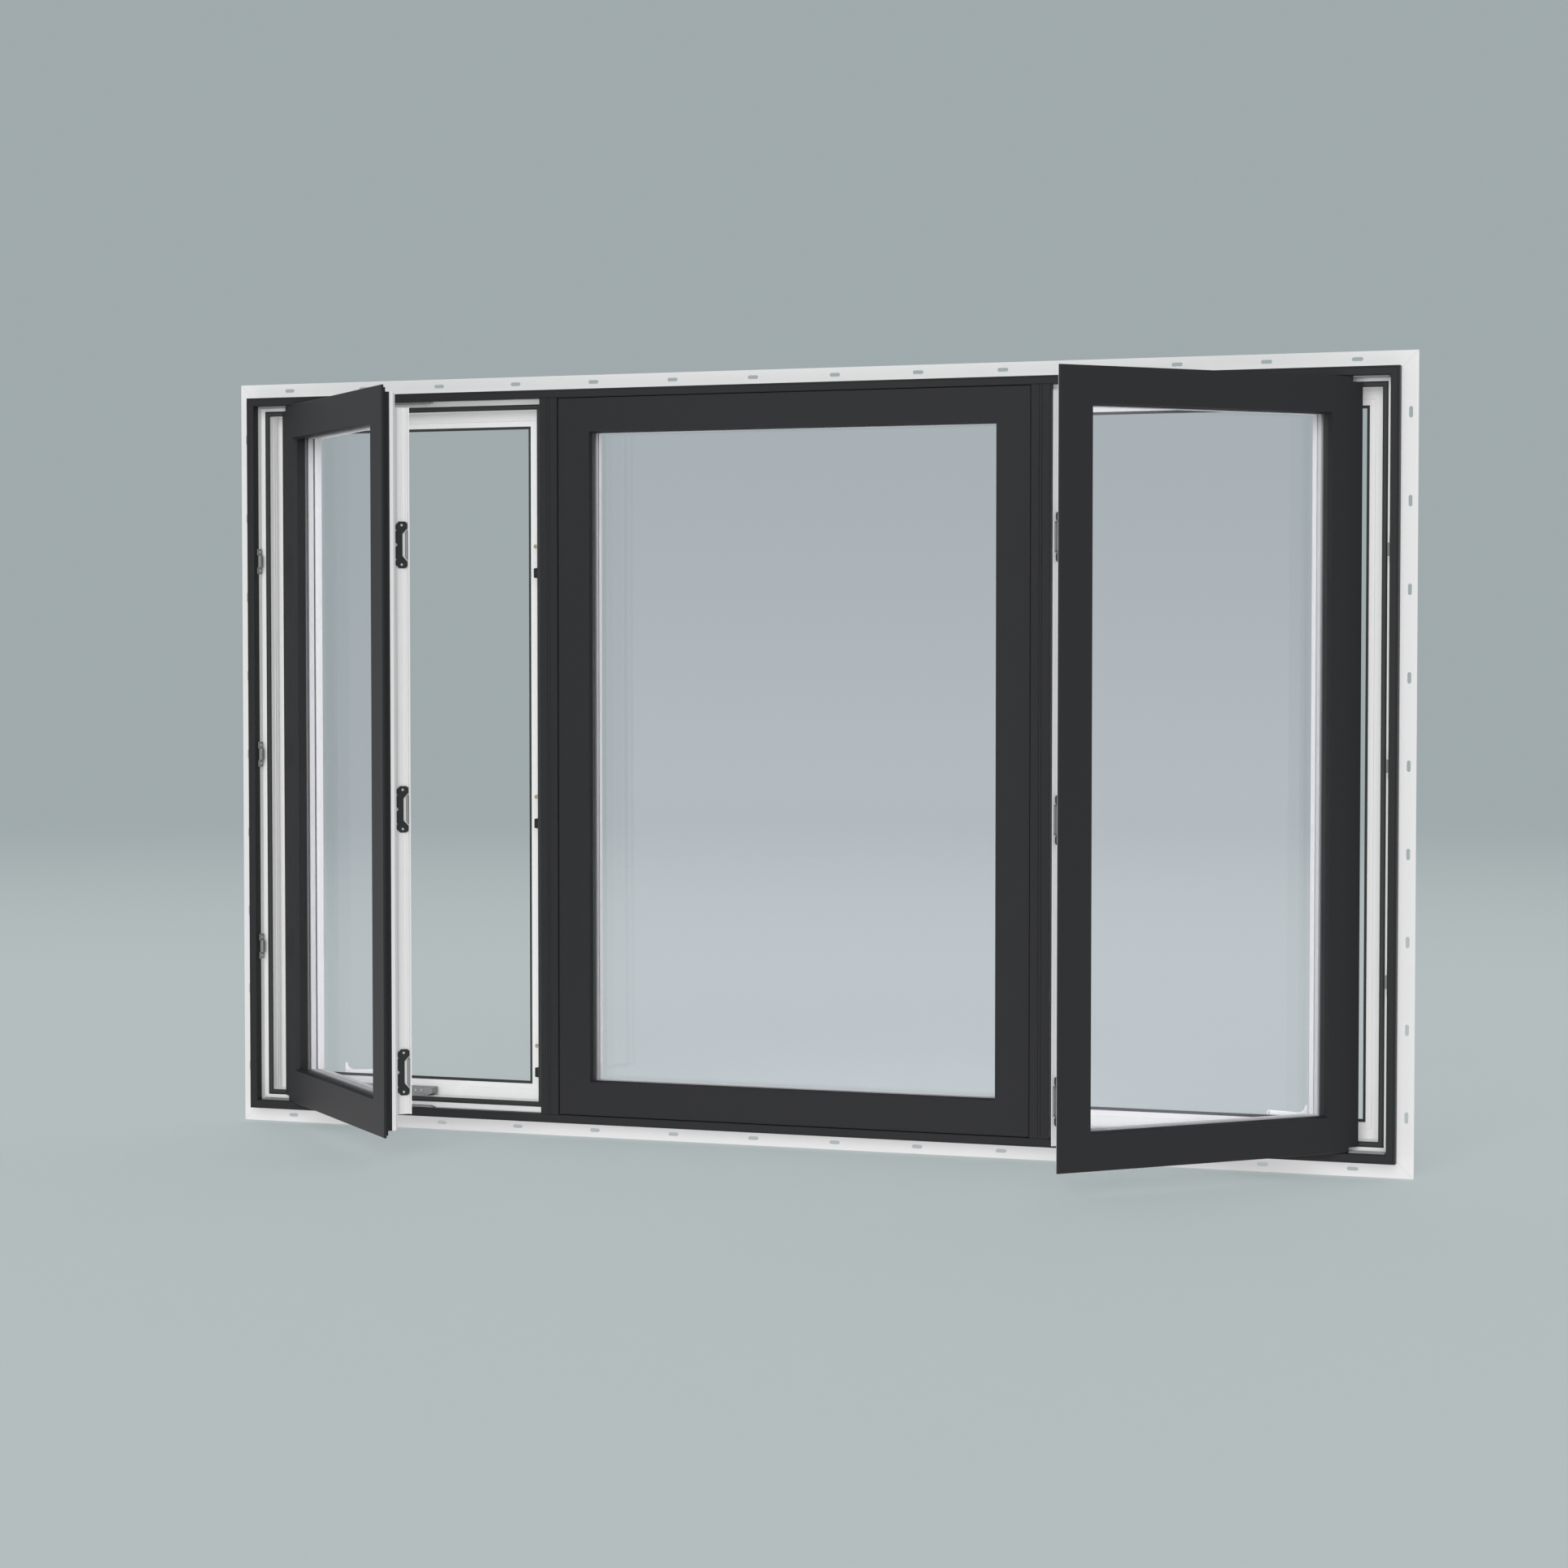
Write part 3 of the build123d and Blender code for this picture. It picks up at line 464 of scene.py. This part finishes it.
def hand_of(points):
    """-1 for a solid of the left casement, 1 for the right."""
    return 1 if sum(point.x for point in points) > 0 else -1


def standing(foot, outward, upright):
    """Place for a model made at the origin: +Z goes outward and +Y along its upright."""
    side = upright.cross(outward)
    return Matrix.Translation(foot) @ Matrix((side, upright, outward)).transposed().to_4x4()


def pick_faces(piece, test):
    """Enter edit mode with only the faces selected that pass a test."""
    pick_only(piece)
    bpy.ops.object.mode_set(mode="EDIT")
    bpy.context.tool_settings.mesh_select_mode = (False, False, True)
    bpy.ops.mesh.select_all(action="DESELECT")
    bpy.ops.object.mode_set(mode="OBJECT")
    for face in piece.data.polygons:
        face.select = test(face)
    bpy.ops.object.mode_set(mode="EDIT")


def set_out(model, name, places, material):
    """Copy a small model to each place, join the copies into one named piece and remove the model."""
    copies = []
    for place in places:
        piece = bpy.data.objects.new(name, model.data.copy())
        piece.data.transform(place)
        bpy.context.scene.collection.objects.link(piece)
        copies.append(piece)
    bpy.data.objects.remove(model)
    pick_only(copies[0])
    for piece in copies:
        piece.select_set(True)
    bpy.ops.object.join()
    whole = bpy.context.object
    whole.name = name
    bpy.ops.object.shade_smooth_by_angle(angle=SMOOTH_ANGLE)
    whole.data.materials.append(material)
    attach(whole, "root")


def standing_bar(width, length, height):
    """Plain bar to start from, along +Y and standing on the origin along +Z."""
    bpy.ops.mesh.primitive_cube_add(size=1, location=(0, 0, height / 2), scale=(width, length, height))
    bpy.ops.object.transform_apply(location=True, scale=True)
    return bpy.context.object


def screw_head(radius):
    """Domed screw head with a cross recess, standing on the origin along +Z."""
    bpy.ops.mesh.primitive_cylinder_add(
        vertices=SCREW_SIDES, radius=radius, depth=SCREW_HEIGHT, location=(0, 0, SCREW_HEIGHT / 2)
    )
    head = bpy.context.object
    bpy.ops.object.transform_apply(location=True)
    pick_faces(head, lambda face: face.normal.z > FACING)
    bpy.ops.mesh.region_to_loop()
    bpy.ops.mesh.bevel(offset=SCREW_HEIGHT / 2, segments=SCREW_DOME_SEGMENTS)
    bpy.ops.object.mode_set(mode="OBJECT")
    span = radius * RECESS_SPAN
    for size in ((span, RECESS_WIDTH), (RECESS_WIDTH, span)):
        bpy.ops.mesh.primitive_cube_add(
            size=1, location=(0, 0, SCREW_HEIGHT), scale=(*size, RECESS_DEPTH * 2)
        )
        cutter = bpy.context.object
        recess = head.modifiers.new("recess", "BOOLEAN")
        recess.operation = "DIFFERENCE"
        recess.object = cutter
        pick_only(head)
        bpy.ops.object.modifier_apply(modifier=recess.name)
        bpy.data.objects.remove(cutter)
    return head


def keeper_ramp():
    """Guide ramp of a keeper: a low bar with its ends cut to the keeper's waist and eased all round."""
    ramp = standing_bar(RAMP_WIDTH, RAMP_LENGTH, RAMP_HEIGHT)
    pick_faces(ramp, lambda face: face.normal.x < -FACING)
    bpy.ops.transform.resize(value=(1, RAMP_TAPER, 1))
    bpy.ops.mesh.select_all(action="SELECT")
    bpy.ops.mesh.bevel(offset=RAMP_EASE, segments=EASE_SEGMENTS, affect="EDGES")
    bpy.ops.object.mode_set(mode="OBJECT")
    return ramp


def lock_pin(length):
    """Brass lock pin: a stem along +Z, drawn out of a disc, that widens into a domed head."""
    bpy.ops.mesh.primitive_circle_add(vertices=PIN_SIDES, radius=PIN_RADIUS, fill_type="NGON")
    pin = bpy.context.object
    stem = length - PIN_HEAD_LENGTH
    widen = PIN_HEAD_RADIUS / PIN_RADIUS
    bpy.ops.object.mode_set(mode="EDIT")
    bpy.ops.mesh.select_all(action="SELECT")
    for rise, grow in ((stem, 1.0), (0.0, widen), (PIN_HEAD_LENGTH, 1.0)):
        bpy.ops.mesh.extrude_region_move(TRANSFORM_OT_translate={"value": (0, 0, rise)})
        bpy.ops.transform.resize(value=(grow, grow, 1))
    bpy.ops.mesh.region_to_loop()
    bpy.ops.mesh.bevel(offset=PIN_DOME, segments=PIN_DOME_SEGMENTS)
    bpy.ops.mesh.select_all(action="SELECT")
    bpy.ops.mesh.normals_make_consistent(inside=False)
    bpy.ops.object.mode_set(mode="OBJECT")
    return pin


def reveal_rib(length):
    """Low rib of a jamb's reveal, with its top edges eased."""
    rib = standing_bar(RIB_WIDTH, length, RIB_HEIGHT)
    pick_faces(rib, lambda face: face.normal.z > FACING)
    bpy.ops.mesh.region_to_loop()
    bpy.ops.mesh.bevel(offset=RIB_EASE, segments=EASE_SEGMENTS)
    bpy.ops.object.mode_set(mode="OBJECT")
    return rib


def fit_keepers():
    """Two screws and a guide ramp on each keeper."""
    screws, ramps = [], []
    for points in loose_solids("keepers"):
        hand = hand_of(points)
        outward = Vector((-hand * cos(OPEN_ANGLE), -sin(OPEN_ANGLE), 0))
        back = Vector((-hand * sin(OPEN_ANGLE), cos(OPEN_ANGLE), 0))
        seat, face = reach(points, outward)
        near, far = reach(points, back)
        bottom, top = reach(points, UP)
        for height in (bottom + KEEPER_SCREW_INSET, top - KEEPER_SCREW_INSET):
            foot = outward * face + back * (near + far) / 2 + UP * height
            screws.append(standing(foot, outward, UP))
        foot = outward * seat + back * (far - RAMP_INSET - RAMP_WIDTH / 2) + UP * (bottom + top) / 2
        ramps.append(standing(foot, outward, UP * -hand))
    set_out(screw_head(KEEPER_SCREW_RADIUS), "keeper_screws", screws, SCREW_FINISH)
    set_out(keeper_ramp(), "keeper_ramps", ramps, FINISHES["hardware_grey"])


def fit_snubbers():
    """A screw in each ear of the snubbers."""
    screws = []
    for points in loose_solids("snubbers"):
        outward = ALONG * -hand_of(points)
        seat, _ = reach(points, outward)
        front, back = reach(points, ROOMWARD)
        bottom, top = reach(points, UP)
        for height in (bottom + SNUBBER_EAR / 2, top - SNUBBER_EAR / 2):
            foot = outward * (seat + SNUBBER_EAR_THICKNESS) + Vector((0, (front + back) / 2, height))
            screws.append(standing(foot, outward, UP))
    set_out(screw_head(SNUBBER_SCREW_RADIUS), "snubber_screws", screws, SCREW_FINISH)


def fit_tracks():
    """A screw near both ends of each hinge track."""
    middle_height = (cad_box[0][2] + cad_box[1][2]) / 2
    screws = []
    for points in loose_solids("hinge_tracks"):
        left, right = reach(points, ALONG)
        front, back = reach(points, ROOMWARD)
        bottom, top = reach(points, UP)
        at_sill = bottom < middle_height
        height = bottom + TRACK_BASE if at_sill else top - TRACK_BASE
        outward = UP if at_sill else -UP
        for along in (left + TRACK_SCREW_INSET, right - TRACK_SCREW_INSET):
            screws.append(standing(Vector((along, (front + back) / 2, height)), outward, ROOMWARD))
    set_out(screw_head(TRACK_SCREW_RADIUS), "track_screws", screws, SCREW_FINISH)


def fit_operators():
    """Two screws in the front of each operator, near its lock end."""
    screws = []
    for points in loose_solids("operators"):
        hand = hand_of(points)
        lock_end, _ = reach(points, ALONG * hand)
        _, top = reach(points, UP)
        front = min(point.y for point in points if point.z > top - OPERATOR_SCREW_DROP)
        for inset in OPERATOR_SCREW_PLACES:
            foot = Vector((hand * (lock_end + inset), front, top - OPERATOR_SCREW_DROP))
            screws.append(standing(foot, -ROOMWARD, UP))
    set_out(screw_head(OPERATOR_SCREW_RADIUS), "operator_screws", screws, SCREW_FINISH)


def fit_lock_pins():
    """A brass pin above each lock tongue, as long as the tongue."""
    pins = []
    length = 0.0
    for points in loose_solids("lock_tongues"):
        outward = ALONG * hand_of(points)
        seat, tip = reach(points, outward)
        front, back = reach(points, ROOMWARD)
        bottom, top = reach(points, UP)
        foot = outward * seat + Vector((0, (front + back) / 2, (bottom + top) / 2 + PIN_RISE))
        pins.append(standing(foot, outward, UP))
        length = max(length, tip - seat)
    set_out(lock_pin(length), "lock_pins", pins, BRASS_FINISH)


def fit_reveal_ribs():
    """Ribs down the reveal of each jamb, between the weatherstrip and the inner trim."""
    ribs = []
    length = 0.0
    for node in ("left_jamb", "right_jamb"):
        mesh = frame["nodes"][node].data
        points = [vertex.co for vertex in mesh.vertices]
        inward = ALONG * -hand_of(points)
        looking_in = [face for face in mesh.polygons if face.normal.dot(inward) > FACING]
        reveal = max(looking_in, key=lambda face: face.area)
        bottom, top = reach([points[corner] for corner in reveal.vertices], UP)
        for depth in RIB_PLACES:
            foot = Vector((reveal.center.x, depth, (bottom + top) / 2))
            ribs.append(standing(foot, inward, UP))
        length = max(length, top - bottom)
    set_out(reveal_rib(length), "reveal_ribs", ribs, FINISHES["white_vinyl"])


def add_floor():
    """Round pale floor that fades into the backdrop and lets the glow from below through to the window."""
    bpy.ops.mesh.primitive_circle_add(
        vertices=FLOOR_SIDES, radius=FLOOR_RADIUS, fill_type="NGON", location=(0, 0, cad_box[0][2])
    )
    floor = bpy.context.object
    floor.name = "floor"
    material = bpy.data.materials.new("floor")
    material.use_nodes = True
    nodes, links = material.node_tree.nodes, material.node_tree.links
    shader = nodes["Principled BSDF"]
    shader.inputs["Base Color"].default_value = (*FLOOR_COLOUR, 1.0)
    shader.inputs["Emission Color"].default_value = (*FLOOR_GLOW, 1.0)
    shader.inputs["Emission Strength"].default_value = 1.0
    shader.inputs["Roughness"].default_value = FLOOR_ROUGHNESS
    shader.inputs["Specular IOR Level"].default_value = FLOOR_SPECULAR
    place = nodes.new("ShaderNodeTexCoord")
    from_middle = add_math(nodes, "LENGTH", "ShaderNodeVectorMath")
    fade = add_ramp(nodes, FLOOR_FADE_START, FLOOR_FADE_END)
    passing = nodes.new("ShaderNodeBsdfTransparent")
    mix = nodes.new("ShaderNodeMixShader")
    links.new(place.outputs["Object"], from_middle.inputs[0])
    links.new(from_middle.outputs["Value"], fade.inputs["Value"])
    links.new(fade.outputs["Result"], mix.inputs["Fac"])
    links.new(shader.outputs["BSDF"], mix.inputs[1])
    links.new(passing.outputs["BSDF"], mix.inputs[2])
    links.new(mix.outputs["Shader"], nodes["Material Output"].inputs["Surface"])
    floor.data.materials.append(material)
    floor.visible_diffuse = False
    floor.visible_glossy = False
    floor.visible_shadow = False


def light_studio():
    """Plain backdrop, soft light from all round, brighter from below, and a broad light from the front."""
    world = bpy.data.worlds.new("studio")
    bpy.context.scene.world = world
    world.use_nodes = True
    nodes, links = world.node_tree.nodes, world.node_tree.links
    sky = nodes["Background"]
    place = nodes.new("ShaderNodeTexCoord")
    split = nodes.new("ShaderNodeSeparateXYZ")
    height = add_ramp(nodes, -GLOW_BLEND, GLOW_BLEND)
    glow = nodes.new("ShaderNodeMix")
    glow.data_type = "RGBA"
    glow.inputs["A"].default_value = (*GROUND_GLOW, 1.0)
    glow.inputs["B"].default_value = (*SKY_GLOW, 1.0)
    rays = nodes.new("ShaderNodeLightPath")
    seen = nodes.new("ShaderNodeMix")
    seen.data_type = "RGBA"
    seen.inputs["B"].default_value = (*BACKDROP, 1.0)
    links.new(place.outputs["Generated"], split.inputs[0])
    links.new(split.outputs["Z"], height.inputs["Value"])
    links.new(height.outputs["Result"], glow.inputs["Factor"])
    links.new(glow.outputs["Result"], seen.inputs["A"])
    links.new(rays.outputs["Is Camera Ray"], seen.inputs["Factor"])
    links.new(seen.outputs["Result"], sky.inputs["Color"])
    bpy.ops.object.light_add(type="SUN", rotation=KEY_TURN)
    key = bpy.context.object
    key.name = "key_light"
    key.data.angle = KEY_SPREAD
    key.data.energy = KEY_STRENGTH


def add_camera():
    """Camera at the photograph's place."""
    bpy.ops.object.camera_add(location=CAMERA_PLACE, rotation=(CAMERA_LEVEL + CAMERA_TILT, 0, CAMERA_YAW))
    camera = bpy.context.object
    camera.data.sensor_width = SENSOR_MM
    camera.data.lens = CAMERA_LENS_MM
    bpy.context.scene.camera = camera


bpy.ops.object.select_all(action="DESELECT")
bpy.context.scene.view_settings.view_transform = "Standard"
dress_nodes()
ease_edges()
raise_cranks()
fit_keepers()
fit_snubbers()
fit_tracks()
fit_operators()
fit_lock_pins()
fit_reveal_ribs()
add_floor()
light_studio()
add_camera()
